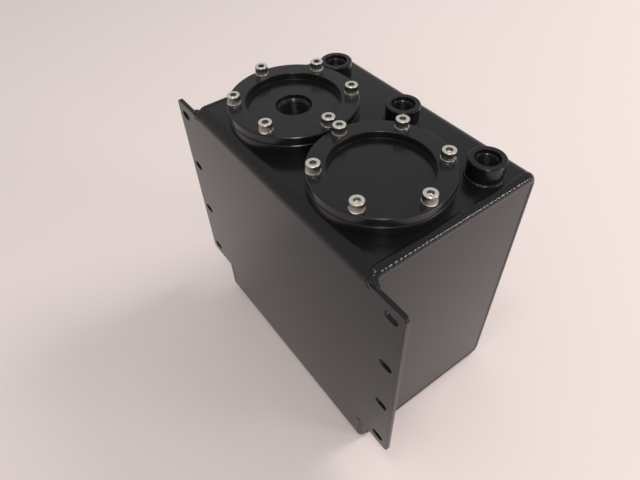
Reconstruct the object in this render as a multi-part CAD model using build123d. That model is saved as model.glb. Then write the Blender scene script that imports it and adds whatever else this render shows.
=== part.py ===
from build123d import *
import os
from math import radians, sqrt, tan

# Fuel surge tank: a folded and welded aluminium box with flat mounting ears, two round covers
# bolted to welded rings on its top, and a row of threaded bungs along the back.
# Millimetres, +Z up. The origin is the middle of the base, and the mounting face looks along -Y.

# Folded shell and end plates
sheet = 3.0                # wall of the shell and of both end plates
bend_inside = 5.5          # inside radius of every fold
body_height = 194.5        # base to top face
end_lap = 0.2              # how far an end plate slides under the shell's edge
seam_from_back = 32.0      # closing seam in the base, from the back face
seam_gap = 1.6             # root gap of that seam
seam_crown = 0.8           # weld standing up inside the tank along the seam
seam_overlap = 1.2         # width of the crown on the sheet, each side of the gap

# Mounting ears
ear_width = 26.8           # past the end plate
ear_top_drop = 5.3         # top face down to the ear's top edge, beside the fold
ear_foot_rise = 32.4       # base up to the ear's bottom edge
ear_corner = 3.5           # corner radius
slot_width = 5.5
slot_length = 9.6          # end to end
slot_count = 4             # in each ear
slot_from_edge = 10.0      # slot centre to the ear's outer edge
slot_end_margin = 9.4      # first and last slot to the ear's ends

# Covers and the rings they bolt to
cover_diameter = 85.6
cover_gap = 0.6            # between the two covers
cover_front_land = 6.8     # front face to the rings
cover_end_land = 7.3       # end plate's outer face to the nearest ring
cover_flange = 6.0         # thickness of the bolted rim
rim_chamfer = 0.6
recess_depth = 5.0
recess_chamfer = 0.4
screw_from_rim = 5.0       # screw centre to the rim
screw_to_bore = 3.6        # screw centre to the ring's bore
ring_floor = 1.0           # metal left under each tapped hole
spigot_wall = 2.8          # ring's lower end, which passes through the sheet
spigot_clearance = 0.1     # radial, in the sheet's hole
ring_weld_leg = 2.0        # fillet weld inside the tank
pilot_clearance = 0.2      # radial, cover in ring
pilot_length = 6.0
pilot_wall = 3.0           # recess to the pilot's outside
pilot_chamfer = 0.6

# Cover seals
groove_depth = 2.0
groove_width = 3.2
seal_clearance = 0.05      # round the squeezed seal

# Cover screws and washers
screw_count = 6            # in each cover
screw_diameter = 5.0
screw_clearance = 0.05     # radial, in the tapped hole
screw_hole_clearance = 0.25  # radial, in the cover
thread_engagement = 4.8
tip_clearance = 1.2        # screw tip to the bottom of its hole
tip_chamfer = 0.6
head_diameter = 8.5
head_height = 5.0
head_chamfer = 0.5
socket_across_flats = 4.0
socket_depth = 2.5
washer_diameter = 9.0
washer_thickness = 1.2
washer_bore = 5.3

# Threaded port in the left cover
port_bore = 20.4           # tapping size of the port's thread
port_mouth = 23.9          # seat diameter at the recess floor
port_seat_depth = 2.6
boss_diameter = 32.0
boss_length = 10.0         # below the pilot

# Threaded bungs along the back
bung_diameter = 22.4
bung_height = 12.0         # above the top face
bung_bore = 12.9           # tapping size of the bung's thread
bung_mouth = 15.4          # seat diameter at the bung's face
bung_seat_depth = 2.5
bung_chamfer = 0.6
bung_spigot_wall = 2.6
bung_weld_leg = 1.2
bung_to_cover = 2.05       # left bung to the left cover's rim
bung_left_land = 28.2      # left bung's centre to the left end
bung_right_land = 18.6     # right bung's centre to the right end
bung_back_land = 26.7      # row of bungs to the back face
seat_angle = 12.0          # half angle of the sealing seats, degrees

# End plate welds
bead_flat = 0.2            # narrow flat beside the rounded corner bead
ear_weld_leg = 3.0         # fillet behind each ear
ear_weld_set_back = 8.0    # from the ear's ends to the ends of that fillet
bead_fullness = 0.62       # bulge of a fillet weld: its middle, as a share of the leg

# Plan of the top, worked out from the lands and the covers
cover_radius = cover_diameter / 2
bung_radius = bung_diameter / 2
body_width = 2 * cover_diameter + cover_gap + 2 * cover_end_land
end_x = body_width / 2
cover_x = (cover_diameter + cover_gap) / 2
cover_back = cover_front_land + cover_radius
bung_xs = {
    "left_bung": bung_left_land - end_x,
    "middle_bung": (bung_left_land - bung_right_land) / 2,
    "right_bung": end_x - bung_right_land,
}
bung_reach = cover_radius + bung_to_cover + bung_radius
bung_step = sqrt(bung_reach**2 - (bung_xs["left_bung"] + cover_x) ** 2)
body_depth = cover_back + bung_step + bung_back_land
front_y = -body_depth / 2
cover_y = front_y + cover_back
bung_y = cover_y + bung_step

# Shell sizes that follow
bend_outside = bend_inside + sheet
shell_half = end_x - sheet + end_lap
seam_y = -front_y - seam_from_back
ear_x = end_x + ear_width
ear_top = body_height - ear_top_drop
ear_height = ear_top - ear_foot_rise
ear_root_top = min(ear_top, body_height - bend_outside)
ear_root_height = ear_root_top - ear_foot_rise
slot_x = ear_x - slot_from_edge
slot_pitch = (ear_height - 2 * slot_end_margin) / (slot_count - 1)

# Cover sizes that follow, with heights above the top face
bolt_circle = cover_diameter - 2 * screw_from_rim
bore_radius = bolt_circle / 2 - screw_to_bore
spigot_radius = bore_radius + spigot_wall
tapped_depth = thread_engagement + tip_clearance
ring_height = tapped_depth + ring_floor
cover_top = ring_height + cover_flange
recess_floor = cover_top - recess_depth
pilot_radius = bore_radius - pilot_clearance
pilot_bottom = ring_height - pilot_length
recess_radius = pilot_radius - pilot_wall
groove_radius = pilot_radius - groove_depth
groove_low = ring_height - (pilot_length + groove_width) / 2
groove_high = groove_low + groove_width
screw_seat = cover_top + washer_thickness
screw_length = washer_thickness + cover_flange + thread_engagement
bung_spigot_radius = bung_bore / 2 + bung_spigot_wall


def turned(*corners):
    """A solid turned about Z from its (radius, height) corners."""
    return revolve(make_face(Plane.XZ * Polyline(*corners, close=True)), Axis.Z)


def weld_section(leg):
    """Section of a full fillet weld in the corner of the local axes."""
    bulge = leg * bead_fullness
    legs = Polyline((0, leg), (0, 0), (leg, 0))
    return make_face(legs + ThreePointArc((leg, 0), (bulge, bulge), (0, leg)))


def outline(inset, corner):
    """Rounded outline of the folded box, seen from its end."""
    section = RectangleRounded(body_depth - 2 * inset, body_height - 2 * inset, corner)
    return Plane.YZ * Pos(0, body_height / 2) * section


def end_slab(section, inner_x, outer_x):
    """A section extruded along X at the right-hand end."""
    return Pos(inner_x, 0, 0) * extrude(section, amount=outer_x - inner_x, dir=(1, 0, 0))


def left_of(solid):
    """The same piece at the left-hand end."""
    return mirror(solid, about=Plane.YZ)


def ear_sheet():
    """Flat of the front sheet with both slotted ears, whose tops stand free beside the upper fold."""
    ear_middle = (0, front_y + sheet, ear_foot_rise + ear_height / 2)
    front = Plane(origin=ear_middle, x_dir=(1, 0, 0), z_dir=(0, -1, 0))
    flat = extrude(front * RectangleRounded(2 * ear_x, ear_height, ear_corner), amount=sheet)
    slot = extrude(SlotOverall(slot_length, slot_width), amount=sheet)
    flat -= [front * place * slot for place in GridLocations(2 * slot_x, slot_pitch, 2, slot_count)]
    return flat - Pos(0, front_y, body_height) * Box(body_width, 4 * sheet, 2 * bend_outside)


def tank_shell():
    """Front with ears, top, back and base, folded from one sheet and closed by a seam in the base."""
    wrap = outline(0, bend_outside) - outline(sheet, bend_inside)
    shell = extrude(wrap, amount=shell_half, both=True) + ear_sheet()
    top_middle = body_height - sheet / 2
    for side in (-1, 1):
        hole = Cylinder(spigot_radius + spigot_clearance, 2 * sheet)
        shell -= Pos(side * cover_x, cover_y, top_middle) * hole
    for bung_x in bung_xs.values():
        hole = Cylinder(bung_spigot_radius + spigot_clearance, 2 * sheet)
        shell -= Pos(bung_x, bung_y, top_middle) * hole
    return shell - Pos(0, seam_y, 0) * Box(body_width, seam_gap, 3 * sheet)


def shell_seam_weld():
    """Butt weld that closes the base, flush outside and crowned inside."""
    fill = Pos(0, seam_y, sheet / 2) * Box(2 * shell_half, seam_gap, sheet)
    half = seam_gap / 2 + seam_overlap
    crown = Line((-half, 0), (half, 0)) + ThreePointArc((half, 0), (0, seam_crown), (-half, 0))
    section = Plane(origin=(0, seam_y, sheet), x_dir=(0, 1, 0), z_dir=(1, 0, 0)) * make_face(crown)
    return fill + extrude(section, amount=end_x - sheet, both=True)


def end_plate():
    """Flat plate that closes the right end, inside the folded shell."""
    return end_slab(outline(sheet, bend_inside), end_x - sheet, end_x)


def end_weld():
    """Corner bead round the right end plate, from the ear's root over the back to the ear's foot."""
    bead = end_slab(outline(0, bend_outside) - outline(sheet, bend_inside), shell_half, end_x)
    rim = bead.faces().sort_by(Axis.X)[-1].outer_wire().edges()
    bead = fillet(rim, end_x - shell_half - bead_flat)
    ear_root = Box(body_width, 2 * sheet, ear_root_height)
    return bead - Pos(end_x, front_y, ear_foot_rise + ear_root_height / 2) * ear_root


def ear_weld():
    """Fillet weld behind the right ear, where the end plate meets the front sheet."""
    corner = Plane(origin=(end_x, front_y + sheet, ear_foot_rise + ear_weld_set_back))
    return extrude(corner * weld_section(ear_weld_leg), amount=ear_height - 2 * ear_weld_set_back)


def screw_places():
    """Screw places round one cover's axis, with a screw on the X axis at each side."""
    return PolarLocations(bolt_circle / 2, screw_count)


def cover_ring():
    """Turned ring that a cover bolts to, with its spigot through the sheet and tapped holes."""
    ring = turned(
        (bore_radius, -sheet - ring_weld_leg),
        (spigot_radius, -sheet - ring_weld_leg),
        (spigot_radius, 0),
        (cover_radius, 0),
        (cover_radius, ring_height - rim_chamfer),
        (cover_radius - rim_chamfer, ring_height),
        (bore_radius + pilot_chamfer, ring_height),
        (bore_radius, ring_height - pilot_chamfer),
    )
    hole = Pos(0, 0, ring_height - tapped_depth / 2) * Cylinder(screw_diameter / 2, tapped_depth)
    return ring - [place * hole for place in screw_places()]


def ring_weld():
    """Fillet weld under the top sheet, round the ring's spigot."""
    section = Plane(origin=(spigot_radius, 0, -sheet), x_dir=(1, 0, 0), z_dir=(0, 1, 0))
    return revolve(section * weld_section(ring_weld_leg), Axis.Z)


def blank_cover():
    """Turned cover with a shallow round recess, a bolted rim and a grooved pilot."""
    cover = turned(
        (0, pilot_bottom),
        (pilot_radius - pilot_chamfer, pilot_bottom),
        (pilot_radius, pilot_bottom + pilot_chamfer),
        (pilot_radius, groove_low),
        (groove_radius, groove_low),
        (groove_radius, groove_high),
        (pilot_radius, groove_high),
        (pilot_radius, ring_height),
        (cover_radius - rim_chamfer, ring_height),
        (cover_radius, ring_height + rim_chamfer),
        (cover_radius, cover_top - rim_chamfer),
        (cover_radius - rim_chamfer, cover_top),
        (recess_radius + recess_chamfer, cover_top),
        (recess_radius, cover_top - recess_chamfer),
        (recess_radius, recess_floor),
        (0, recess_floor),
    )
    hole_radius = screw_diameter / 2 + screw_hole_clearance
    hole = Pos(0, 0, ring_height + cover_flange / 2) * Cylinder(hole_radius, cover_flange)
    return cover - [place * hole for place in screw_places()]


def sealing_port(bore, mouth, seat_depth, face, bottom):
    """Cutter for a threaded port: a tapered seal seat, a shoulder and the tapping bore."""
    seat_end = mouth / 2 - seat_depth * tan(radians(seat_angle))
    shoulder = seat_end - bore / 2
    return turned(
        (0, bottom),
        (bore / 2, bottom),
        (bore / 2, face - seat_depth - shoulder),
        (seat_end, face - seat_depth),
        (mouth / 2, face),
        (0, face),
    )


def ported_cover():
    """The left cover: as the blank one, with a threaded port in a boss below its middle."""
    boss_bottom = pilot_bottom - boss_length
    boss = Pos(0, 0, pilot_bottom - boss_length / 2) * Cylinder(boss_diameter / 2, boss_length)
    port = sealing_port(port_bore, port_mouth, port_seat_depth, recess_floor, boss_bottom)
    return blank_cover() + boss - port


def cover_seal():
    """Round seal, squeezed between the groove in the pilot and the ring's bore."""
    section_radius = (bore_radius - groove_radius) / 2 - seal_clearance
    middle = (groove_low + groove_high) / 2
    return Pos(0, 0, middle) * Torus((bore_radius + groove_radius) / 2, section_radius)


def cover_screw():
    """Socket head cap screw, with its seat at the washer's top."""
    shank = screw_diameter / 2 - screw_clearance
    head = head_diameter / 2
    screw = turned(
        (0, screw_seat - screw_length),
        (shank - tip_chamfer, screw_seat - screw_length),
        (shank, screw_seat - screw_length + tip_chamfer),
        (shank, screw_seat),
        (head, screw_seat),
        (head, screw_seat + head_height - head_chamfer),
        (head - head_chamfer, screw_seat + head_height),
        (0, screw_seat + head_height),
    )
    hexagon = RegularPolygon(socket_across_flats / 2, 6, major_radius=False)
    return screw - extrude(Pos(0, 0, screw_seat + head_height) * hexagon, amount=-socket_depth)


def cover_washer():
    """Plain washer under a screw head."""
    return turned(
        (washer_bore / 2, cover_top),
        (washer_diameter / 2, cover_top),
        (washer_diameter / 2, screw_seat),
        (washer_bore / 2, screw_seat),
    )


def bung():
    """Turned bung with a spigot through the sheet and a threaded port in its face."""
    blank = turned(
        (0, -sheet),
        (bung_spigot_radius, -sheet),
        (bung_spigot_radius, 0),
        (bung_radius, 0),
        (bung_radius, bung_height - bung_chamfer),
        (bung_radius - bung_chamfer, bung_height),
        (0, bung_height),
    )
    return blank - sealing_port(bung_bore, bung_mouth, bung_seat_depth, bung_height, -sheet)


def bung_weld():
    """Fillet weld round a bung's foot."""
    section = Plane(origin=(bung_radius, 0, 0), x_dir=(1, 0, 0), z_dir=(0, -1, 0))
    return revolve(section * weld_section(bung_weld_leg), Axis.Z)


def all_round(piece):
    """Copies of a piece at every screw place of one cover."""
    return Compound([place * piece for place in screw_places()])


nodes = {
    "tank_shell": tank_shell(),
    "shell_seam_weld": shell_seam_weld(),
    "right_end_plate": end_plate(),
    "right_end_weld": end_weld(),
    "right_ear_weld": ear_weld(),
    "left_end_plate": left_of(end_plate()),
    "left_end_weld": left_of(end_weld()),
    "left_ear_weld": left_of(ear_weld()),
}

for side, name, cover in ((-1, "ported_cover", ported_cover()), (1, "blank_cover", blank_cover())):
    seat = Pos(side * cover_x, cover_y, body_height)
    nodes[name] = seat * cover
    nodes[name + "_ring"] = seat * cover_ring()
    nodes[name + "_ring_weld"] = seat * ring_weld()
    nodes[name + "_seal"] = seat * cover_seal()
    nodes[name + "_screws"] = seat * all_round(cover_screw())
    nodes[name + "_washers"] = seat * all_round(cover_washer())

for name, bung_x in bung_xs.items():
    seat = Pos(bung_x, bung_y, body_height)
    nodes[name] = seat * bung()
    nodes[name + "_weld"] = seat * bung_weld()

os.makedirs("parts", exist_ok=True)
for name, solid in nodes.items():
    export_step(solid, f"parts/{name}.step")
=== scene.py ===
import math

import bmesh
import bpy
from mathutils import Matrix, Vector


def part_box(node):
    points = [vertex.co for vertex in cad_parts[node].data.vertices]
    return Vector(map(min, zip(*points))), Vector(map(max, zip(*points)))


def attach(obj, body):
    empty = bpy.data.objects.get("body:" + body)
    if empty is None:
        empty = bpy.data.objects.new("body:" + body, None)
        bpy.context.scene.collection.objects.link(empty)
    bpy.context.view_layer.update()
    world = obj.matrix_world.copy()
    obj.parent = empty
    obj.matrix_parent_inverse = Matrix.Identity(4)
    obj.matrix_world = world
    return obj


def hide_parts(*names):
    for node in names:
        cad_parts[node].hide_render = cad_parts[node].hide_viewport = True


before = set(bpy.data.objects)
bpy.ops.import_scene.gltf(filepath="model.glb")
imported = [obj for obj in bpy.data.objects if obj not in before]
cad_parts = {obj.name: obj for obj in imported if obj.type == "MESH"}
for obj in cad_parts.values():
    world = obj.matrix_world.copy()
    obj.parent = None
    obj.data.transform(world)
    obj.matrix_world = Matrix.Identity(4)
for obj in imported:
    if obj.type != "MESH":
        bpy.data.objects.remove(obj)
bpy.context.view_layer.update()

bl_info = {
    "name": "Fuel Surge Tank",
    "version": (1, 0, 0),
    "blender": (4, 5, 0),
    "location": "3D View > Sidebar > Surge Tank",
    "description": "Coated sheet, weld beads, covers, bungs and screws of a welded fuel surge tank",
    "category": "Object",
}

MM = 0.001
SHELL_LOW, SHELL_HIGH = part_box("tank_shell")
END_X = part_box("right_end_plate")[1].x
EAR_WELD_LOW, EAR_WELD_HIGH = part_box("right_ear_weld")
COVERS = ("ported_cover", "blank_cover")
BUNGS = ("left_bung", "middle_bung", "right_bung")

# Merging and rounding of the CAD meshes
MERGE = 0.002 * MM              # points closer than this are one
FLAT_ANGLE = math.radians(0.3)  # faces closer than this are one flat
EDGE_ANGLE = math.radians(30)   # edges sharper than this are rounded
EDGE_SEGMENTS = 3               # facets of a rounded edge
SHARP_ANGLE = math.radians(35)  # edges sharper than this stay sharp on screws and washers

# Weld beads; a section is a start angle and a sweep, in degrees
CORNER_SECTION = (-114, 138)
FILLET_SECTION = (-15, 120)
TAIL_SECTION = (-125, 250)
ROOT_SECTION = (-180, 180)
TAIL_SHARE = 0.6               # radius of a tail, in corner bead radii
TAIL_BACK = 0.72               # a tail's middle behind the front face, in sheet thicknesses
ROOT_IN = 0.5                  # a root bead's middle inside the end face, in its radii
ROOT_BACK = 1.1                # the same behind the front face
NOSE = 2 * MM                  # an open end swells to the full bead over this length
NOSE_POWER = 0.4               # bluntness of that swell
RING_NOSE = 0.1 * MM           # a bead that runs into itself has hardly any
BEAD_STEP = 0.3 * MM           # distance of the points along a bead
BEAD_POINTS = 13               # points round a section
RIPPLE_BOW = 0.5               # how far a ripple's toes trail its crown, in pitches
RIPPLE_LEVEL = 0.6             # part of a ripple's height that cuts in and doesn't stand out
WANDER = 1.6                   # uneven welding speed, in pitches
WANDER_SCALE = 0.35            # its changes in each pitch
WANDER_DETAIL = 1.0            # finer changes within them
FOLD_STEPS = 12                # points of a path round a fold
RING_STEPS = 72                # points of a path round a bung

# Threads, screws and washers
THREAD_STEPS = 48              # points in each turn of a thread
THREAD_RIDGE = 0.42            # radius of a ridge, in pitches
SCREW_STEPS = 144              # points round a screw
SCREW_TIP = 0.6 * MM           # chamfer of the tip, and the cone under the socket
HEAD_EDGE = 0.2 * MM           # broken edge at the head's seat
HEAD_BAND = 0.6 * MM           # plain band under the knurl
KNURL_TEETH = 48
KNURL_DEPTH = 0.2 * MM
KNURL_END = 1.1 * MM           # head's top down to the knurl
HEAD_CROWN = ((0.9, 0), (0.55, 0.02), (0.2, 0.14), (0.05, 0.34), (0, 0.6))  # mm down, mm in
SOCKET_RIM = 0.62              # radius of the socket's countersink, in widths across flats
SOCKET_EDGE = 0.15 * MM        # depth of that countersink
WASHER_STEPS = 64              # points round a washer
WASHER_EDGE = 0.25 * MM        # rounding of its edges
WASHER_FACET = 0.3             # middle of that rounding, in radii from both faces

# Stage
FLOOR_HALF = 6.0               # half the floor's width, in metres
LAMP_AIM = Vector((0, 0, 0.1))
SENSOR_WIDTH = 36              # mm
CLIP_START = 0.01              # metres


def axis_of(node):
    """Middle of a turned CAD node, seen from above."""
    low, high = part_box(node)
    return Vector(((low.x + high.x) / 2, (low.y + high.y) / 2, 0))


def linear(colour):
    """sRGB hex colour as linear RGBA."""
    parts = [int(colour[k:k + 2], 16) / 255 for k in (1, 3, 5)]
    return (*(c / 12.92 if c <= 0.04045 else ((c + 0.055) / 1.055) ** 2.4 for c in parts), 1.0)


def add_node(tree, kind, sockets=None, **settings):
    """Adds a node, applies its settings, and sets or links its input sockets."""
    made = tree.nodes.new(kind)
    for name, value in settings.items():
        setattr(made, name, value)
    for key, value in (sockets or {}).items():
        if isinstance(value, bpy.types.NodeSocket):
            tree.links.new(value, made.inputs[key])
        else:
            made.inputs[key].default_value = value
    return made


class SheetSettings(bpy.types.PropertyGroup):
    """Folded shell and end plates."""

    coat: bpy.props.StringProperty(
        name="Coat", description="sRGB colour of the black coat", default="#131313")
    roughness: bpy.props.FloatProperty(
        name="Roughness", description="Satin gloss of the coat", default=0.22, min=0, max=1, subtype="FACTOR")
    gloss: bpy.props.FloatProperty(
        name="Index", description="Refractive index of the coat's surface", default=1.43, min=1, max=2)
    sheen: bpy.props.StringProperty(
        name="Sheen", description="sRGB tint of the coat's reflections", default="#f6faff")
    peel: bpy.props.FloatProperty(
        name="Orange peel", description="Width of the coat's fine waves", default=1.4 * MM, unit="LENGTH")
    edge: bpy.props.FloatProperty(
        name="Edge break", description="Rounding of the coated sheet edges", default=0.45 * MM, unit="LENGTH")
    bend: bpy.props.FloatProperty(
        name="Bend radius", description="Outside radius of the folds", default=8.5 * MM, unit="LENGTH")


class WeldSettings(bpy.types.PropertyGroup):
    """Weld beads."""

    corner_radius: bpy.props.FloatProperty(
        name="Corner bead", description="Radius of the bead round an end plate",
        default=4.3 * MM, unit="LENGTH")
    corner_depth: bpy.props.FloatProperty(
        name="Corner depth", description="Bead middle below both faces", default=4.0 * MM, unit="LENGTH")
    ear_radius: bpy.props.FloatProperty(
        name="Ear bead", description="Radius of the bead behind an ear", default=3.3 * MM, unit="LENGTH")
    bung_radius: bpy.props.FloatProperty(
        name="Bung bead", description="Radius of the bead round a bung", default=1.55 * MM, unit="LENGTH")
    root_radius: bpy.props.FloatProperty(
        name="Root bead", description="Radius of the bead between fold and ear",
        default=2 * MM, unit="LENGTH")
    sunk: bpy.props.FloatProperty(
        name="Fillet depth", description="Fillet bead's middle behind its corner",
        default=0.4 * MM, unit="LENGTH")
    set_back: bpy.props.FloatProperty(
        name="Ear set back", description="Ear's ends to the ends of its bead", default=8 * MM, unit="LENGTH")
    roughness: bpy.props.FloatProperty(
        name="Roughness", description="Gloss of the coat on the beads",
        default=0.14, min=0, max=1, subtype="FACTOR")
    pitch: bpy.props.FloatProperty(
        name="Ripple pitch", description="Distance from ripple to ripple", default=3.1 * MM, unit="LENGTH")
    height: bpy.props.FloatProperty(
        name="Ripple height", description="Height of a ripple over its valley",
        default=0.13 * MM, unit="LENGTH")
    bung_height: bpy.props.FloatProperty(
        name="Bung ripple", description="Height of a ripple round a bung", default=0.1 * MM, unit="LENGTH")
    tail: bpy.props.FloatProperty(
        name="Tail", description="Run of the corner bead out over the ear's top",
        default=5.5 * MM, unit="LENGTH")


class TurnedSettings(bpy.types.PropertyGroup):
    """Covers, rings and bungs."""

    colour: bpy.props.StringProperty(
        name="Covers", description="sRGB colour of the anodised covers", default="#141415")
    roughness: bpy.props.FloatProperty(
        name="Roughness", description="Gloss of the anodised covers",
        default=0.2, min=0, max=1, subtype="FACTOR")
    edge: bpy.props.FloatProperty(
        name="Edge break", description="Rounding of the turned edges", default=0.2 * MM, unit="LENGTH")
    gloss: bpy.props.FloatProperty(
        name="Index", description="Refractive index of the anodised layer", default=1.46, min=1, max=2)
    feed: bpy.props.FloatProperty(
        name="Feed marks", description="Distance of the fine turning rings", default=0.8 * MM, unit="LENGTH")
    bung_pitch: bpy.props.FloatProperty(
        name="Bung thread", description="Pitch of the bungs' thread", default=1.41 * MM, unit="LENGTH")
    port_pitch: bpy.props.FloatProperty(
        name="Port thread", description="Pitch of the port's thread", default=1.81 * MM, unit="LENGTH")
    bung_bore: bpy.props.FloatProperty(
        name="Bung bore", description="Radius of a bung's bore", default=6.45 * MM, unit="LENGTH")
    port_bore: bpy.props.FloatProperty(
        name="Port bore", description="Radius of the port's bore", default=10.2 * MM, unit="LENGTH")
    bung_mouth: bpy.props.FloatProperty(
        name="Bung mouth", description="Bung's top down to its thread", default=3.6 * MM, unit="LENGTH")
    port_mouth: bpy.props.FloatProperty(
        name="Port mouth", description="Cover's top down to the port's thread",
        default=9.2 * MM, unit="LENGTH")


class ScrewSettings(bpy.types.PropertyGroup):
    """Cover screws and washers."""

    steel: bpy.props.StringProperty(
        name="Steel", description="sRGB colour of the plain steel", default="#f4f1e8")
    # Knurl: the darker colour painted on the screw heads' sides as painted shade.
    knurl: bpy.props.StringProperty(
        name="Knurl", description="sRGB colour of the knurled sides", default="#98948c")
    roughness: bpy.props.FloatProperty(
        name="Roughness", description="Gloss of the screws", default=0.24, min=0, max=1, subtype="FACTOR")
    head: bpy.props.FloatProperty(
        name="Head", description="Radius of a screw head", default=4.25 * MM, unit="LENGTH")
    height: bpy.props.FloatProperty(
        name="Head height", description="Height of a screw head", default=5 * MM, unit="LENGTH")
    shank: bpy.props.FloatProperty(
        name="Shank", description="Radius of the shank", default=2.45 * MM, unit="LENGTH")
    length: bpy.props.FloatProperty(
        name="Length", description="Length under the head", default=12 * MM, unit="LENGTH")
    socket: bpy.props.FloatProperty(
        name="Socket", description="Hexagon socket across its flats", default=4 * MM, unit="LENGTH")
    socket_depth: bpy.props.FloatProperty(
        name="Socket depth", description="Depth of the hexagon socket", default=2.5 * MM, unit="LENGTH")
    washer: bpy.props.FloatProperty(
        name="Washer", description="Radius of a washer", default=4.5 * MM, unit="LENGTH")
    washer_bore: bpy.props.FloatProperty(
        name="Washer bore", description="Radius of a washer's hole", default=2.65 * MM, unit="LENGTH")
    washer_height: bpy.props.FloatProperty(
        name="Washer height", description="Thickness of a washer", default=1.2 * MM, unit="LENGTH")
    circle: bpy.props.FloatProperty(
        name="Bolt circle", description="Radius of the screw circle", default=37.8 * MM, unit="LENGTH")
    count: bpy.props.IntProperty(name="Count", description="Screws in each cover", default=6, min=1)


class StageSettings(bpy.types.PropertyGroup):
    """Floor, light and camera."""

    floor: bpy.props.StringProperty(
        name="Floor", description="sRGB colour of the pale floor", default="#e8dfdb")
    sky: bpy.props.StringProperty(
        name="Surround", description="sRGB colour of the soft surround", default="#f2f0f0")
    sky_strength: bpy.props.FloatProperty(
        name="Surround level", description="Brightness of the surround", default=0.57)
    key_power: bpy.props.FloatProperty(
        name="Key lamp", description="Power of the large lamp", default=25.5, unit="POWER")
    lamp_colour: bpy.props.StringProperty(
        name="Lamp colour", description="sRGB colour of the lamps", default="#fff4f2")
    key_size: bpy.props.FloatProperty(
        name="Key width", description="Width of the large lamp", default=1.2, unit="LENGTH")
    key_place: bpy.props.FloatVectorProperty(
        name="Key place", description="Place of the large lamp", default=(0.3, 1.75, 1.6), unit="LENGTH")
    edge_power: bpy.props.FloatProperty(
        name="Edge lamp", description="Power of the long lamp on the right", default=8.5, unit="POWER")
    edge_size: bpy.props.FloatProperty(
        name="Edge width", description="Width of the long lamp on the right", default=0.75, unit="LENGTH")
    edge_height: bpy.props.FloatProperty(
        name="Edge height", description="Height of the long lamp on the right", default=0.14, unit="LENGTH")
    edge_place: bpy.props.FloatVectorProperty(
        name="Edge place", description="Place of the long lamp on the right",
        default=(1.62, 1.114, 0.656), unit="LENGTH")
    glint_power: bpy.props.FloatProperty(
        name="Glint lamp", description="Power of the small lamp over the camera", default=4.2, unit="POWER")
    glint_size: bpy.props.FloatProperty(
        name="Glint width", description="Width of the small lamps", default=0.24, unit="LENGTH")
    glint_place: bpy.props.FloatVectorProperty(
        name="Glint place", description="Place of the small lamp over the camera", default=(0.75, -0.5, 1.35),
        unit="LENGTH")
    ceiling_power: bpy.props.FloatProperty(
        name="Ceiling lamp", description="Power of the small lamp overhead", default=2.2, unit="POWER")
    ceiling_place: bpy.props.FloatVectorProperty(
        name="Ceiling place", description="Place of the small lamp overhead", default=(0.12, -0.42, 1.62),
        unit="LENGTH")
    low_power: bpy.props.FloatProperty(
        name="Low lamp", description="Power of the small lamp low on the right", default=1.8, unit="POWER")
    low_place: bpy.props.FloatVectorProperty(
        name="Low place", description="Place of the small lamp low on the right", default=(1.07, -0.82, 0.79),
        unit="LENGTH")
    eye: bpy.props.FloatVectorProperty(
        name="Camera", description="Place of the camera", default=(0.21174, -0.17354, 0.39662), unit="LENGTH")
    azimuth: bpy.props.FloatProperty(
        name="Azimuth", description="Camera round the tank", default=math.radians(55.51), unit="ROTATION")
    elevation: bpy.props.FloatProperty(
        name="Elevation", description="Camera above the horizon",
        default=math.radians(47.306), unit="ROTATION")
    roll: bpy.props.FloatProperty(
        name="Roll", description="Camera about its own axis", default=math.radians(-2.582), unit="ROTATION")
    focal: bpy.props.FloatProperty(
        name="Lens", description="Focal length on a 36 mm wide sensor", default=29.886)


def coat_material(settings, name="Satin black powder coat, baked", roughness=None):
    """Powder coat, sprayed and baked: an even satin black whose faint orange peel softens reflections."""
    if name in bpy.data.materials:
        return bpy.data.materials[name]
    material = bpy.data.materials.new(name)
    material.use_nodes = True
    tree = material.node_tree
    shader = tree.nodes["Principled BSDF"]
    shader.inputs["Base Color"].default_value = linear(settings.coat)
    shader.inputs["Roughness"].default_value = settings.roughness if roughness is None else roughness
    shader.inputs["IOR"].default_value = settings.gloss
    shader.inputs["Specular Tint"].default_value = linear(settings.sheen)
    place = add_node(tree, "ShaderNodeTexCoord")
    octaves, strength, depth = 2.0, 0.12, 0.02 * MM
    peel = add_node(tree, "ShaderNodeTexNoise", {
        "Vector": place.outputs["Object"], "Scale": 1 / settings.peel, "Detail": octaves})
    bump = add_node(tree, "ShaderNodeBump", {
        "Height": peel.outputs["Fac"], "Strength": strength, "Distance": depth})
    tree.links.new(bump.outputs["Normal"], shader.inputs["Normal"])
    return material


def anodised_material(settings, node):
    """Black anodised aluminium, turned: a deep satin black with fine rings round the turning axis."""
    name = f"Black anodised aluminium, turned ({node})"
    if name in bpy.data.materials:
        return bpy.data.materials[name]
    material = bpy.data.materials.new(name)
    material.use_nodes = True
    tree = material.node_tree
    shader = tree.nodes["Principled BSDF"]
    shader.inputs["Base Color"].default_value = linear(settings.colour)
    shader.inputs["Roughness"].default_value = settings.roughness
    shader.inputs["IOR"].default_value = settings.gloss
    place = add_node(tree, "ShaderNodeTexCoord")
    centred = add_node(tree, "ShaderNodeMapping", {
        "Vector": place.outputs["Object"], "Location": -axis_of(node)})
    # A wave texture makes 20 / tau rings in each unit of its scale.
    scale = math.tau / 20 / settings.feed
    waver, octaves, strength, depth = 0.4, 1.0, 0.05, 0.01 * MM
    rings = add_node(tree, "ShaderNodeTexWave", {
        "Vector": centred.outputs["Vector"], "Scale": scale, "Distortion": waver, "Detail": octaves},
        wave_type="RINGS", rings_direction="Z")
    bump = add_node(tree, "ShaderNodeBump", {
        "Height": rings.outputs["Fac"], "Strength": strength, "Distance": depth})
    tree.links.new(bump.outputs["Normal"], shader.inputs["Normal"])
    return material


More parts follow.
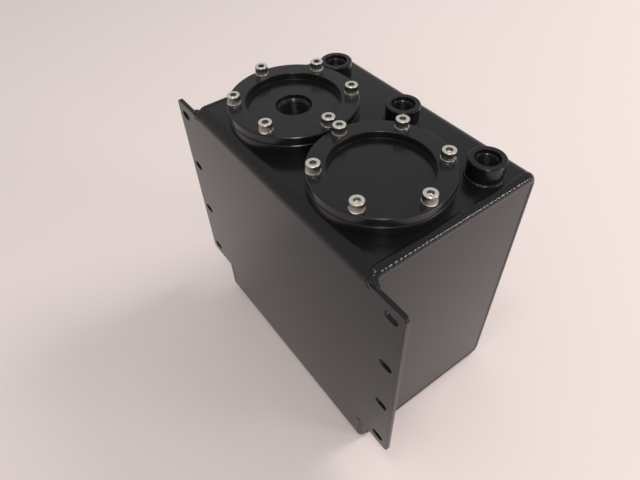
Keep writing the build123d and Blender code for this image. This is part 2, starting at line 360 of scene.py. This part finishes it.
def steel_material(settings):
    """Plain stainless steel, stamped: bright warm grey metal with a soft even gloss."""
    material = bpy.data.materials.new("Plain stainless steel, stamped")
    material.use_nodes = True
    shader = material.node_tree.nodes["Principled BSDF"]
    shader.inputs["Base Color"].default_value = linear(settings.steel)
    shader.inputs["Metallic"].default_value = 1.0
    shader.inputs["Roughness"].default_value = settings.roughness
    return material


def painted_side_shade_steel_material(settings):
    """Plain stainless steel, cold headed and knurled: bright tops, and painted shade on the sides, darker the
    more a face turns from up.
    """
    material = bpy.data.materials.new("Plain stainless steel, cold headed and knurled")
    material.use_nodes = True
    tree = material.node_tree
    shader = tree.nodes["Principled BSDF"]
    shader.inputs["Metallic"].default_value = 1.0
    shader.inputs["Roughness"].default_value = settings.roughness
    # Painted shade: faces turned sideways take the darker knurl colour, faces turned up the plain steel
    # colour.
    facing = add_node(tree, "ShaderNodeNewGeometry")
    parts = add_node(tree, "ShaderNodeSeparateXYZ", {"Vector": facing.outputs["Normal"]})
    sides, tops = 0.2, 0.8
    upward = add_node(tree, "ShaderNodeMapRange", {
        "Value": parts.outputs["Z"], "From Min": sides, "From Max": tops})
    # Of the mix node's many sockets, inputs 6 and 7 and output 2 are the colours.
    shade = add_node(tree, "ShaderNodeMix", {
        0: upward.outputs["Result"], 6: linear(settings.knurl), 7: linear(settings.steel)}, data_type="RGBA")
    tree.links.new(shade.outputs[2], shader.inputs["Base Color"])
    return material


def rubber_material():
    """Nitrile rubber, moulded: a dull soft black."""
    material = bpy.data.materials.new("Nitrile rubber, moulded")
    material.use_nodes = True
    shader = material.node_tree.nodes["Principled BSDF"]
    black, dullness = "#161616", 0.7
    shader.inputs["Base Color"].default_value = linear(black)
    shader.inputs["Roughness"].default_value = dullness
    return material


def floor_material(settings):
    """White laminate table top: a pale, nearly matt surface."""
    material = bpy.data.materials.new("White laminate table top")
    material.use_nodes = True
    shader = material.node_tree.nodes["Principled BSDF"]
    dullness = 0.6
    shader.inputs["Base Color"].default_value = linear(settings.floor)
    shader.inputs["Roughness"].default_value = dullness
    return material


def finish_piece(piece, slot, *nodes):
    """Fixes a finished piece to the tank, in place of CAD nodes if any are named."""
    if not piece.data.polygons:
        raise RuntimeError(f"{piece.name} came out empty")
    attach(piece, "root")
    if nodes:
        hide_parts(*nodes)


def new_object(name, mesh):
    """Links a mesh to the scene as an object at the origin."""
    made = bpy.data.objects.new(name, mesh)
    bpy.context.scene.collection.objects.link(made)
    return made


def plain_mesh(temporary, name):
    """The evaluated object as a plain mesh object; the temporary one goes."""
    bpy.context.view_layer.update()
    graph = bpy.context.evaluated_depsgraph_get()
    mesh = bpy.data.meshes.new_from_object(temporary.evaluated_get(graph))
    old = temporary.data
    bpy.data.objects.remove(temporary)
    bpy.data.meshes.remove(old)
    mesh.name = name
    return new_object(name, mesh)


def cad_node(node):
    """A CAD node's object."""
    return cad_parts[node]


def softened(node, name, edge, material):
    """A merged copy of a CAD node with its sharp edges rounded."""
    shape = bmesh.new()
    shape.from_mesh(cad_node(node).data)
    bmesh.ops.remove_doubles(shape, verts=shape.verts, dist=MERGE)
    bmesh.ops.dissolve_limit(
        shape, angle_limit=FLAT_ANGLE, verts=shape.verts, edges=shape.edges, delimit={"NORMAL"})
    for face in shape.faces:
        face.smooth = True
    mesh = bpy.data.meshes.new(name)
    shape.to_mesh(mesh)
    shape.free()
    mesh.materials.clear()
    mesh.materials.append(material)
    copy = new_object(name, mesh)
    bevel = copy.modifiers.new("Edge break", "BEVEL")
    bevel.width = edge
    bevel.segments = EDGE_SEGMENTS
    bevel.limit_method = "ANGLE"
    bevel.angle_limit = EDGE_ANGLE
    bevel.use_clamp_overlap = False
    # At full weight the largest face at a corner sets its normal, so flats stay flat.
    normals = copy.modifiers.new("Flat faces", "WEIGHTED_NORMAL")
    normals.keep_sharp = True
    normals.weight = 100
    # Faces with more than four corners are split evenly, with no slivers across the flats.
    split = copy.modifiers.new("Even triangles", "TRIANGULATE")
    split.ngon_method = "BEAUTY"
    split.min_vertices = 5
    split.keep_custom_normals = True
    return plain_mesh(copy, name)


def mirrored(piece, name):
    """The same piece at the left-hand end."""
    mesh = piece.data.copy()
    mesh.transform(Matrix.Scale(-1, 4, Vector((1, 0, 0))))
    mesh.flip_normals()
    mesh.name = name
    return new_object(name, mesh)


def new_tree(name, inputs):
    """A geometry node tree with named inputs; gives the tree, its input node and its output node."""
    tree = bpy.data.node_groups.new(name, "GeometryNodeTree")
    tree.interface.new_socket("Geometry", in_out="INPUT", socket_type="NodeSocketGeometry")
    for label, kind in inputs:
        tree.interface.new_socket(label, in_out="INPUT", socket_type=kind)
    tree.interface.new_socket("Geometry", in_out="OUTPUT", socket_type="NodeSocketGeometry")
    return tree, add_node(tree, "NodeGroupInput"), add_node(tree, "NodeGroupOutput")


def close_tree(tree, given, result, geometry):
    """Ends a tree with realized, finished geometry."""
    real = add_node(tree, "GeometryNodeRealizeInstances", {"Geometry": geometry})
    coated = add_node(tree, "GeometryNodeSetMaterial", {
        "Geometry": real.outputs["Geometry"], "Material": given.outputs["Material"]})
    tree.links.new(coated.outputs["Geometry"], result.inputs["Geometry"])
    return tree


def grown(name, tree, values, points=()):
    """Runs a tree on a path of points and gives its result as a plain mesh object."""
    base = bpy.data.meshes.new(name)
    base.from_pydata(points, [(k, k + 1) for k in range(len(points) - 1)], [])
    temporary = new_object(name, base)
    modifier = temporary.modifiers.new(name, "NODES")
    modifier.node_group = tree
    sockets = {item.name: item.identifier for item in tree.interface.items_tree if item.in_out == "INPUT"}
    for label, value in values.items():
        modifier[sockets[label]] = value
    piece = plain_mesh(temporary, name)
    shape = bmesh.new()
    shape.from_mesh(piece.data)
    bmesh.ops.recalc_face_normals(shape, faces=shape.faces)
    for face in shape.faces:
        face.smooth = True
    shape.to_mesh(piece.data)
    shape.free()
    return piece


def maths(tree, operation, *values, clamp=False):
    """Output of a math node."""
    made = add_node(tree, "ShaderNodeMath", dict(enumerate(values)), operation=operation, use_clamp=clamp)
    return made.outputs["Value"]


def vectors(tree, operation, *values):
    """Output of a vector math node."""
    made = add_node(tree, "ShaderNodeVectorMath", dict(enumerate(values)), operation=operation)
    return made.outputs["Vector"]


def stored(tree, geometry, name, value, kind="FLOAT"):
    """Geometry that carries a value as a named attribute."""
    made = add_node(tree, "GeometryNodeStoreNamedAttribute", {
        "Geometry": geometry, "Name": name, "Value": value}, data_type=kind)
    return made.outputs["Geometry"]


def recalled(tree, name, kind="FLOAT"):
    """Output of a named attribute."""
    made = add_node(tree, "GeometryNodeInputNamedAttribute", {"Name": name}, data_type=kind)
    return made.outputs["Attribute"]


def weld_tree():
    """A rippled bead along a path: a pie-shaped section, swept, with bowed ripples across its crown."""
    if "Weld bead" in bpy.data.node_groups:
        return bpy.data.node_groups["Weld bead"]
    tree, given, result = new_tree("Weld bead", [
        ("Radius", "NodeSocketFloat"), ("Start Angle", "NodeSocketFloat"), ("Sweep Angle", "NodeSocketFloat"),
        ("Ripple Pitch", "NodeSocketFloat"), ("Ripple Height", "NodeSocketFloat"), ("Bow", "NodeSocketFloat"),
        ("Step", "NodeSocketFloat"), ("Lowest", "NodeSocketFloat"), ("Side", "NodeSocketVector"),
        ("Nose", "NodeSocketFloat"), ("Material", "NodeSocketMaterial")])
    value = given.outputs
    path = add_node(tree, "GeometryNodeMeshToCurve", {"Mesh": value["Geometry"]})
    path = add_node(tree, "GeometryNodeResampleCurve", {
        "Curve": path.outputs["Curve"], "Length": value["Step"]}, mode="LENGTH")
    run = add_node(tree, "GeometryNodeSplineParameter").outputs["Length"]
    # The section keeps one side of its own towards the given direction, square to the path.
    along = add_node(tree, "GeometryNodeInputTangent").outputs["Tangent"]
    square = vectors(tree, "CROSS_PRODUCT", along, vectors(tree, "CROSS_PRODUCT", value["Side"], along))
    path = add_node(tree, "GeometryNodeSetCurveNormal", {
        "Curve": path.outputs["Curve"], "Normal": square}, mode="FREE")
    # Open ends swell from a point to the full bead over the nose's length.
    total = add_node(tree, "GeometryNodeCurveLength", {"Curve": path.outputs["Curve"]}).outputs["Length"]
    near = maths(tree, "MINIMUM", run, maths(tree, "SUBTRACT", total, run))
    near = maths(tree, "DIVIDE", near, value["Nose"], clamp=True)
    swell = maths(tree, "POWER", near, NOSE_POWER)
    middle = add_node(tree, "GeometryNodeInputPosition").outputs["Position"]
    spine = stored(tree, path.outputs["Curve"], "run", run)
    spine = stored(tree, spine, "middle", middle, "FLOAT_VECTOR")
    section = add_node(tree, "GeometryNodeCurveArc", {
        "Resolution": BEAD_POINTS, "Radius": value["Radius"], "Start Angle": value["Start Angle"],
        "Sweep Angle": value["Sweep Angle"], "Connect Center": True}, mode="RADIUS")
    place = add_node(tree, "GeometryNodeInputPosition").outputs["Position"]
    reach = add_node(tree, "ShaderNodeVectorMath", {0: place}, operation="LENGTH").outputs["Value"]
    crown = maths(tree, "DIVIDE", reach, value["Radius"])
    across = add_node(tree, "GeometryNodeSplineParameter").outputs["Index"]
    profile = stored(tree, section.outputs["Curve"], "crown", crown)
    profile = stored(tree, profile, "across", across)
    bead = add_node(tree, "GeometryNodeCurveToMesh", {
        "Curve": spine, "Profile Curve": profile, "Scale": swell, "Fill Caps": True})
    # Ripple wave: run / pitch, bowed back towards both toes, folded into round crests with sharp valleys.
    half = (BEAD_POINTS - 1) / 2
    side = maths(tree, "DIVIDE", maths(tree, "SUBTRACT", recalled(tree, "across"), half), half)
    bow = maths(tree, "MULTIPLY", maths(tree, "POWER", side, 2.0), value["Bow"])
    turns = maths(tree, "DIVIDE", recalled(tree, "run"), value["Ripple Pitch"])
    wander = add_node(tree, "ShaderNodeTexNoise", {
        "W": turns, "Scale": WANDER_SCALE, "Detail": WANDER_DETAIL}, noise_dimensions="1D").outputs["Fac"]
    phase = maths(tree, "MULTIPLY_ADD", wander, WANDER, maths(tree, "ADD", turns, bow))
    wave = maths(tree, "SINE", maths(tree, "MULTIPLY", phase, math.pi))
    wave = maths(tree, "SUBTRACT", maths(tree, "ABSOLUTE", wave), RIPPLE_LEVEL)
    rise = maths(tree, "MULTIPLY", wave, value["Ripple Height"])
    rise = maths(tree, "MULTIPLY", rise, recalled(tree, "crown"))
    here = add_node(tree, "GeometryNodeInputPosition").outputs["Position"]
    outward = vectors(tree, "SUBTRACT", here, recalled(tree, "middle", "FLOAT_VECTOR"))
    outward = vectors(tree, "NORMALIZE", outward)
    shift = add_node(tree, "ShaderNodeVectorMath", {0: outward, "Scale": rise}, operation="SCALE")
    bead = add_node(tree, "GeometryNodeSetPosition", {
        "Geometry": bead.outputs["Mesh"], "Offset": shift.outputs["Vector"]})
    # Under the base the bead is dressed flat.
    here = add_node(tree, "GeometryNodeInputPosition").outputs["Position"]
    parts = add_node(tree, "ShaderNodeSeparateXYZ", {"Vector": here}).outputs
    level = maths(tree, "MAXIMUM", parts["Z"], value["Lowest"])
    dressed = add_node(tree, "ShaderNodeCombineXYZ", {"X": parts["X"], "Y": parts["Y"], "Z": level})
    bead = add_node(tree, "GeometryNodeSetPosition", {
        "Geometry": bead.outputs["Geometry"], "Position": dressed.outputs["Vector"]})
    return close_tree(tree, given, result, bead.outputs["Geometry"])


def weld_bead(name, points, section, side, nose, height, material):
    """A rippled weld bead along a path; its section is a radius, a start angle and a sweep in degrees."""
    radius, start, sweep = section
    return grown(name, weld_tree(), {
        "Radius": radius, "Start Angle": math.radians(start), "Sweep Angle": math.radians(sweep),
        "Ripple Pitch": bpy.context.scene.surge_tank_weld.pitch, "Ripple Height": height, "Bow": RIPPLE_BOW,
        "Step": BEAD_STEP, "Lowest": SHELL_LOW.z, "Side": side, "Nose": nose, "Material": material}, points)


def circle_tree():
    """Copies of one piece round a bolt circle, each turned by chance about its own axis."""
    if "Bolt circle" in bpy.data.node_groups:
        return bpy.data.node_groups["Bolt circle"]
    tree, given, result = new_tree("Bolt circle", [
        ("Piece", "NodeSocketObject"), ("Radius", "NodeSocketFloat"), ("Count", "NodeSocketInt"),
        ("Centre", "NodeSocketVector"), ("Seed", "NodeSocketInt"), ("Material", "NodeSocketMaterial")])
    value = given.outputs
    ring = add_node(tree, "GeometryNodeMeshCircle", {"Vertices": value["Count"], "Radius": value["Radius"]})
    ring = add_node(tree, "GeometryNodeTransform", {
        "Geometry": ring.outputs["Mesh"], "Translation": value["Centre"]})
    piece = add_node(tree, "GeometryNodeObjectInfo", {"Object": value["Piece"]})
    turn = add_node(tree, "FunctionNodeRandomValue", {
        "Max": (0, 0, math.tau), "Seed": value["Seed"]}, data_type="FLOAT_VECTOR")
    copies = add_node(tree, "GeometryNodeInstanceOnPoints", {
        "Points": ring.outputs["Geometry"], "Instance": piece.outputs["Geometry"],
        "Rotation": turn.outputs[0]})
    return close_tree(tree, given, result, copies.outputs["Instances"])


def thread_tree():
    """An inside thread: a ridge wound up a bore from its foot."""
    if "Inside thread" in bpy.data.node_groups:
        return bpy.data.node_groups["Inside thread"]
    tree, given, result = new_tree("Inside thread", [
        ("Bore", "NodeSocketFloat"), ("Turns", "NodeSocketFloat"), ("Height", "NodeSocketFloat"),
        ("Ridge", "NodeSocketFloat"), ("Foot", "NodeSocketVector"), ("Material", "NodeSocketMaterial")])
    value = given.outputs
    helix = add_node(tree, "GeometryNodeCurveSpiral", {
        "Resolution": THREAD_STEPS, "Rotations": value["Turns"], "Start Radius": value["Bore"],
        "End Radius": value["Bore"], "Height": value["Height"]})
    helix = add_node(tree, "GeometryNodeSetCurveNormal", {"Curve": helix.outputs["Curve"]}, mode="Z_UP")
    # The ridge's section is a triangle with a flat side towards the bore's axis and its point in the metal.
    point = add_node(tree, "GeometryNodeCurvePrimitiveCircle", {
        "Resolution": 3, "Radius": value["Ridge"]}, mode="RADIUS")
    point = add_node(tree, "GeometryNodeTransform", {
        "Geometry": point.outputs["Curve"], "Rotation": (0, 0, math.pi)})
    ridge = add_node(tree, "GeometryNodeCurveToMesh", {
        "Curve": helix.outputs["Curve"], "Profile Curve": point.outputs["Geometry"], "Fill Caps": True})
    ridge = add_node(tree, "GeometryNodeTransform", {
        "Geometry": ridge.outputs["Mesh"], "Translation": value["Foot"]})
    return close_tree(tree, given, result, ridge.outputs["Geometry"])


def lathe(rings, segments):
    """Skin of stacked rings; each ring is a height and a radius that may depend on the angle."""
    angles = [math.tau * k / segments for k in range(segments)]
    shape = bmesh.new()
    loops = []
    for height, radius in rings:
        loop = []
        for angle in angles:
            reach = radius(angle) if callable(radius) else radius
            loop.append(shape.verts.new((reach * math.cos(angle), reach * math.sin(angle), height)))
        loops.append(loop)
    for low, high in zip(loops, loops[1:]):
        for k in range(segments):
            n = (k + 1) % segments
            shape.faces.new((low[k], low[n], high[n], high[k]))
    return shape, loops


def lathe_mesh(name, shape):
    """Turns a lathe shape into a smooth mesh with sharp corners kept."""
    bmesh.ops.recalc_face_normals(shape, faces=shape.faces)
    mesh = bpy.data.meshes.new(name)
    shape.to_mesh(mesh)
    shape.free()
    mesh.shade_smooth()
    mesh.set_sharp_from_angle(angle=SHARP_ANGLE)
    return mesh


def screw_mesh(screw):
    """Socket head cap screw standing on its head's seat, with a knurled head and a hexagon socket."""
    def knurl(a):
        return screw.head - KNURL_DEPTH * (0.5 - 0.5 * math.cos(KNURL_TEETH * a))

    def hexagon(a):
        return screw.socket / 2 / math.cos((a + math.pi / 6) % (math.pi / 3) - math.pi / 6)

    top = screw.height
    rings = [
        (-screw.length, screw.shank - SCREW_TIP), (-screw.length + SCREW_TIP, screw.shank), (0, screw.shank),
        (0, screw.head - HEAD_EDGE), (HEAD_EDGE, screw.head), (HEAD_BAND, screw.head),
        (HEAD_BAND + HEAD_EDGE, knurl), (top - KNURL_END, knurl),
        *((top - down * MM, screw.head - inward * MM) for down, inward in HEAD_CROWN),
        (top, screw.socket * SOCKET_RIM), (top - SOCKET_EDGE, hexagon), (top - screw.socket_depth, hexagon),
    ]
    shape, loops = lathe(rings, SCREW_STEPS)
    shape.faces.new(loops[0])
    tip = shape.verts.new((0, 0, top - screw.socket_depth - SCREW_TIP))
    last = loops[-1]
    for k, vert in enumerate(last):
        shape.faces.new((vert, last[(k + 1) % len(last)], tip))
    return lathe_mesh("screw", shape)


def washer_mesh(screw):
    """Plain washer lying on its face, with edges rounded by stamping and tumbling."""
    soft, facet = WASHER_EDGE, WASHER_FACET * WASHER_EDGE
    outer, bore, top = screw.washer, screw.washer_bore, screw.washer_height
    rings = [
        (0, bore), (0, outer - soft), (facet, outer - facet), (soft, outer), (top - soft, outer),
        (top - facet, outer - facet), (top, outer - soft), (top, bore + soft), (top - soft, bore), (0, bore),
    ]
    shape = lathe(rings, WASHER_STEPS)[0]
    bmesh.ops.remove_doubles(shape, verts=shape.verts, dist=MERGE)
    return lathe_mesh("washer", shape)


def end_path(sheet, weld):
    """Middle line of the right-hand corner bead, from the ear over the top and the back to the ear's foot."""
    depth = weld.corner_depth
    x = END_X - depth
    low_y, high_y = SHELL_LOW.y, SHELL_HIGH.y
    low_z, high_z = SHELL_LOW.z, SHELL_HIGH.z
    reach = sheet.bend - depth
    corners = (
        (low_y + sheet.bend, high_z - sheet.bend, 180), (high_y - sheet.bend, high_z - sheet.bend, 90),
        (high_y - sheet.bend, low_z + sheet.bend, 0), (low_y + sheet.bend, low_z + sheet.bend, -90))
    points = [(x, low_y + depth, high_z - sheet.bend - NOSE)]
    for y, z, start in corners:
        for k in range(FOLD_STEPS + 1):
            angle = math.radians(start - 90 * k / FOLD_STEPS)
            points.append((x, y + reach * math.cos(angle), z + reach * math.sin(angle)))
    points.append((x, low_y + depth, EAR_WELD_LOW.z - weld.set_back))
    return points


def tail_path(sheet, weld):
    """Middle line of the corner bead's tail, from the ear's top edge into the bead at the upper fold."""
    depth = weld.corner_depth
    ear_top = EAR_WELD_HIGH.z + weld.set_back
    # The tail lies in the back part of the ear's edge, and sinks into that edge as it runs out.
    middle = SHELL_LOW.y + TAIL_BACK * (EAR_WELD_LOW.y - SHELL_LOW.y)
    sink, lead, lift = 0.2 * depth, 0.4 * depth, 0.1 * depth
    reach = sheet.bend - depth
    fold = Vector((END_X - depth, SHELL_LOW.y + sheet.bend, SHELL_HIGH.z - sheet.bend))
    # It joins the bead at 130 degrees of the fold and follows it up to the top, at 90 degrees.
    arc = []
    for degrees in range(130, 80, -10):
        angle = math.radians(degrees)
        arc.append(fold + reach * Vector((0, math.cos(angle), math.sin(angle))))
    start = Vector((END_X + weld.tail, middle, ear_top - sink))
    turn = Vector((END_X - lead, middle + lift, ear_top + lift))
    steps = [k / FOLD_STEPS for k in range(FOLD_STEPS)]
    return [start * (1 - t) ** 2 + turn * 2 * t * (1 - t) + arc[0] * t ** 2 for t in steps] + arc


class SURGETANK_OT_sheet(bpy.types.Operator):
    """Folded shell and end plates, with coated and softly rounded edges"""

    bl_idname = "surge_tank.sheet"
    bl_label = "Sheet metal"

    def execute(self, context):
        sheet = context.scene.surge_tank_sheet
        coat = coat_material(sheet)
        for node, name in (("tank_shell", "coated_shell"), ("right_end_plate", "coated_right_end"),
                           ("left_end_plate", "coated_left_end")):
            finish_piece(softened(node, name, sheet.edge, coat), "black_coat", node)
        return {"FINISHED"}


class SURGETANK_OT_welds(bpy.types.Operator):
    """Rippled weld beads round the ends, behind the ears and round the bungs"""

    bl_idname = "surge_tank.welds"
    bl_label = "Weld beads"

    def execute(self, context):
        sheet = context.scene.surge_tank_sheet
        weld = context.scene.surge_tank_weld
        section = (weld.corner_radius, *CORNER_SECTION)
        self.pair("corner_bead", end_path(sheet, weld), section, NOSE, "end_weld")
        section = (TAIL_SHARE * weld.corner_radius, *TAIL_SECTION)
        self.pair("corner_tail", tail_path(sheet, weld), section, weld.tail)
        ear_top = EAR_WELD_HIGH.z + weld.set_back
        fold = SHELL_HIGH.z - sheet.bend
        # The root bead fills the slit between the fold and the ear, just behind the front face.
        x, y = END_X - ROOT_IN * weld.root_radius, SHELL_LOW.y + ROOT_BACK * weld.root_radius
        line = [(x, y, fold - NOSE), (x, y, ear_top + NOSE)]
        self.pair("ear_root", line, (weld.root_radius, *ROOT_SECTION), NOSE)
        x, y = END_X - weld.sunk, EAR_WELD_LOW.y - weld.sunk
        line = [(x, y, EAR_WELD_LOW.z), (x, y, EAR_WELD_HIGH.z)]
        self.pair("ear_bead", line, (weld.ear_radius, *FILLET_SECTION), NOSE, "ear_weld")
        for node in BUNGS:
            low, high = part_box(node)
            middle = axis_of(node)
            radius = (high.x - low.x) / 2 - weld.sunk
            ring = []
            for k in range(RING_STEPS + 1):
                angle = math.tau * k / RING_STEPS
                ring.append((middle.x + radius * math.cos(angle), middle.y + radius * math.sin(angle),
                             SHELL_HIGH.z - weld.sunk))
            bead = weld_bead(node + "_bead", ring, (weld.bung_radius, *FILLET_SECTION), (0, 0, 1), RING_NOSE,
                             weld.bung_height, coat_material(sheet))
            finish_piece(bead, "black_coat", node + "_weld")
        return {"FINISHED"}

    def pair(self, name, points, section, nose, node=None):
        """A bead at the right-hand end and its mirror image at the left; each may replace a CAD node."""
        scene = bpy.context.scene
        weld = scene.surge_tank_weld
        coat = coat_material(
            scene.surge_tank_sheet, "Glossy black powder coat, flowed over weld", weld.roughness)
        right = weld_bead("right_" + name, points, section, (1, 0, 0), nose, weld.height, coat)
        finish_piece(right, "black_coat", *(["right_" + node] if node else []))
        left = mirrored(right, "left_" + name)
        finish_piece(left, "black_coat", *(["left_" + node] if node else []))


class SURGETANK_OT_covers(bpy.types.Operator):
    """Turned covers and the welded rings under them"""

    bl_idname = "surge_tank.covers"
    bl_label = "Covers and rings"

    def execute(self, context):
        turned = context.scene.surge_tank_turned
        coat = coat_material(context.scene.surge_tank_sheet)
        for node in COVERS:
            black = anodised_material(turned, node)
            finish_piece(softened(node, "turned_" + node, turned.edge, black), "black_anodised", node)
            ring = node + "_ring"
            finish_piece(softened(ring, "coated_" + ring, turned.edge, coat), "black_coat", ring)
        return {"FINISHED"}


class SURGETANK_OT_bungs(bpy.types.Operator):
    """Turned bungs, with the threads of the bungs and of the cover's port"""

    bl_idname = "surge_tank.bungs"
    bl_label = "Bungs and threads"

    def execute(self, context):
        turned = context.scene.surge_tank_turned
        coat = coat_material(context.scene.surge_tank_sheet)
        for node in BUNGS:
            finish_piece(softened(node, "coated_" + node, turned.edge, coat), "black_coat", node)
            thread = self.thread(node, turned.bung_mouth, turned.bung_bore, turned.bung_pitch, coat)
            finish_piece(thread, "black_coat")
        port = COVERS[0]
        black = anodised_material(turned, port)
        thread = self.thread(port, turned.port_mouth, turned.port_bore, turned.port_pitch, black)
        finish_piece(thread, "black_anodised")
        return {"FINISHED"}

    def thread(self, node, mouth, bore, pitch, material):
        """A thread from the foot of a node's bore up to the shoulder under its mouth."""
        low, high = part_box(node)
        start = Vector((*axis_of(node).xy, low.z + pitch))
        height = high.z - mouth - start.z
        return grown(node + "_thread", thread_tree(), {
            "Bore": bore, "Turns": height / pitch, "Height": height, "Ridge": THREAD_RIDGE * pitch,
            "Foot": start, "Material": material})


class SURGETANK_OT_screws(bpy.types.Operator):
    """Socket head screws and washers round both covers"""

    bl_idname = "surge_tank.screws"
    bl_label = "Screws and washers"

    def execute(self, context):
        screw = context.scene.surge_tank_screw
        patterns = (
            (screw_mesh(screw), "_screws", screw.washer_height, painted_side_shade_steel_material(screw)),
            (washer_mesh(screw), "_washers", 0, steel_material(screw)))
        for mesh, suffix, rise, steel in patterns:
            piece = new_object("pattern" + suffix, mesh)
            for seed, node in enumerate(COVERS):
                centre = axis_of(node)
                centre.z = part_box(node)[1].z + rise
                group = grown("steel_" + node + suffix, circle_tree(), {
                    "Piece": piece, "Radius": screw.circle, "Count": screw.count, "Centre": centre,
                    "Seed": seed, "Material": steel})
                group.data.set_sharp_from_angle(angle=SHARP_ANGLE)
                finish_piece(group, "screw_steel", node + suffix)
            bpy.data.objects.remove(piece)
        return {"FINISHED"}


class SURGETANK_OT_inner(bpy.types.Operator):
    """Seals, inside ring welds and the base seam, as the CAD gives them"""

    bl_idname = "surge_tank.inner"
    bl_label = "Seals and inner welds"

    def execute(self, context):
        coat = coat_material(context.scene.surge_tank_sheet)
        rubber = rubber_material()
        finishes = {"shell_seam_weld": coat}
        for node in COVERS:
            finishes[node + "_ring_weld"] = coat
            finishes[node + "_seal"] = rubber
        for node, material in finishes.items():
            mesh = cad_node(node).data
            mesh.materials.clear()
            mesh.materials.append(material)
        return {"FINISHED"}


class SURGETANK_OT_stage(bpy.types.Operator):
    """Pale floor, soft light and the camera"""

    bl_idname = "surge_tank.stage"
    bl_label = "Stage"

    def execute(self, context):
        scene = context.scene
        stage = scene.surge_tank_stage
        mesh = bpy.data.meshes.new("floor")
        half = FLOOR_HALF
        corners = [(-half, -half, 0), (half, -half, 0), (half, half, 0), (-half, half, 0)]
        mesh.from_pydata(corners, [], [(0, 1, 2, 3)])
        mesh.materials.append(floor_material(stage))
        new_object("floor", mesh)

        world = bpy.data.worlds.new("Soft surround")
        world.use_nodes = True
        sky = world.node_tree.nodes["Background"]
        sky.inputs["Color"].default_value = linear(stage.sky)
        sky.inputs["Strength"].default_value = stage.sky_strength
        scene.world = world

        colour = linear(stage.lamp_colour)[:3]
        key = self.lamp("Key lamp", stage.key_power, colour, stage.key_place, stage.key_size, stage.key_size)
        # The key lamp lights the floor and the sheet, and leaves no bright patches in their gloss.
        key.visible_glossy = False
        self.lamp("Edge lamp", stage.edge_power, colour, stage.edge_place, stage.edge_size, stage.edge_height)
        for name, power, place in (
                ("Glint lamp", stage.glint_power, stage.glint_place),
                ("Ceiling lamp", stage.ceiling_power, stage.ceiling_place),
                ("Low lamp", stage.low_power, stage.low_place)):
            self.lamp(name, power, colour, place, stage.glint_size, stage.glint_size)

        right = Vector((math.cos(stage.azimuth), math.sin(stage.azimuth), 0))
        back = Vector((math.sin(stage.azimuth) * math.cos(stage.elevation),
                       -math.cos(stage.azimuth) * math.cos(stage.elevation), math.sin(stage.elevation)))
        turn = Matrix((right, back.cross(right), back)).transposed() @ Matrix.Rotation(stage.roll, 3, "Z")
        camera = bpy.data.objects.new("Camera", bpy.data.cameras.new("Camera"))
        camera.data.sensor_width = SENSOR_WIDTH
        camera.data.lens = stage.focal
        camera.data.clip_start = CLIP_START
        camera.matrix_world = Matrix.Translation(stage.eye) @ turn.to_4x4()
        scene.collection.objects.link(camera)
        scene.camera = camera
        scene.view_settings.view_transform = "Standard"
        return {"FINISHED"}

    def lamp(self, name, power, colour, place, width, height):
        """A round or oval soft lamp that looks at the tank."""
        light = bpy.data.lights.new(name, "AREA")
        light.energy = power
        light.color = colour
        light.shape = "ELLIPSE"
        light.size = width
        light.size_y = height
        lamp = bpy.data.objects.new(name, light)
        lamp.location = place
        lamp.rotation_euler = (LAMP_AIM - lamp.location).to_track_quat("-Z", "Y").to_euler()
        bpy.context.scene.collection.objects.link(lamp)
        return lamp


class SURGETANK_PT_panel(bpy.types.Panel):
    """Settings and build steps of the fuel surge tank"""

    bl_idname = "SURGETANK_PT_panel"
    bl_label = "Fuel Surge Tank"
    bl_space_type = "VIEW_3D"
    bl_region_type = "UI"
    bl_category = "Surge Tank"

    def draw(self, context):
        for label, group, operators in SECTIONS:
            box = self.layout.box()
            box.label(text=label)
            settings = getattr(context.scene, group)
            for name in settings.__annotations__:
                box.prop(settings, name)
            for operator in operators:
                box.operator(operator.bl_idname)


GROUPS = {
    "surge_tank_sheet": SheetSettings,
    "surge_tank_weld": WeldSettings,
    "surge_tank_turned": TurnedSettings,
    "surge_tank_screw": ScrewSettings,
    "surge_tank_stage": StageSettings,
}

SECTIONS = (
    ("Sheet metal", "surge_tank_sheet", (SURGETANK_OT_sheet, SURGETANK_OT_inner)),
    ("Weld beads", "surge_tank_weld", (SURGETANK_OT_welds,)),
    ("Turned pieces", "surge_tank_turned", (SURGETANK_OT_covers, SURGETANK_OT_bungs)),
    ("Screws", "surge_tank_screw", (SURGETANK_OT_screws,)),
    ("Stage", "surge_tank_stage", (SURGETANK_OT_stage,)),
)

CLASSES = (
    *GROUPS.values(),
    *(operator for section in SECTIONS for operator in section[2]),
    SURGETANK_PT_panel,
)


def register():
    for item in CLASSES:
        bpy.utils.register_class(item)
    for name, group in GROUPS.items():
        setattr(bpy.types.Scene, name, bpy.props.PointerProperty(type=group))


def unregister():
    for name in GROUPS:
        delattr(bpy.types.Scene, name)
    for item in reversed(CLASSES):
        bpy.utils.unregister_class(item)


def main():
    register()
    bpy.ops.surge_tank.sheet()
    bpy.ops.surge_tank.welds()
    bpy.ops.surge_tank.covers()
    bpy.ops.surge_tank.bungs()
    bpy.ops.surge_tank.screws()
    bpy.ops.surge_tank.inner()
    bpy.ops.surge_tank.stage()


if __name__ == "__main__":
    main()
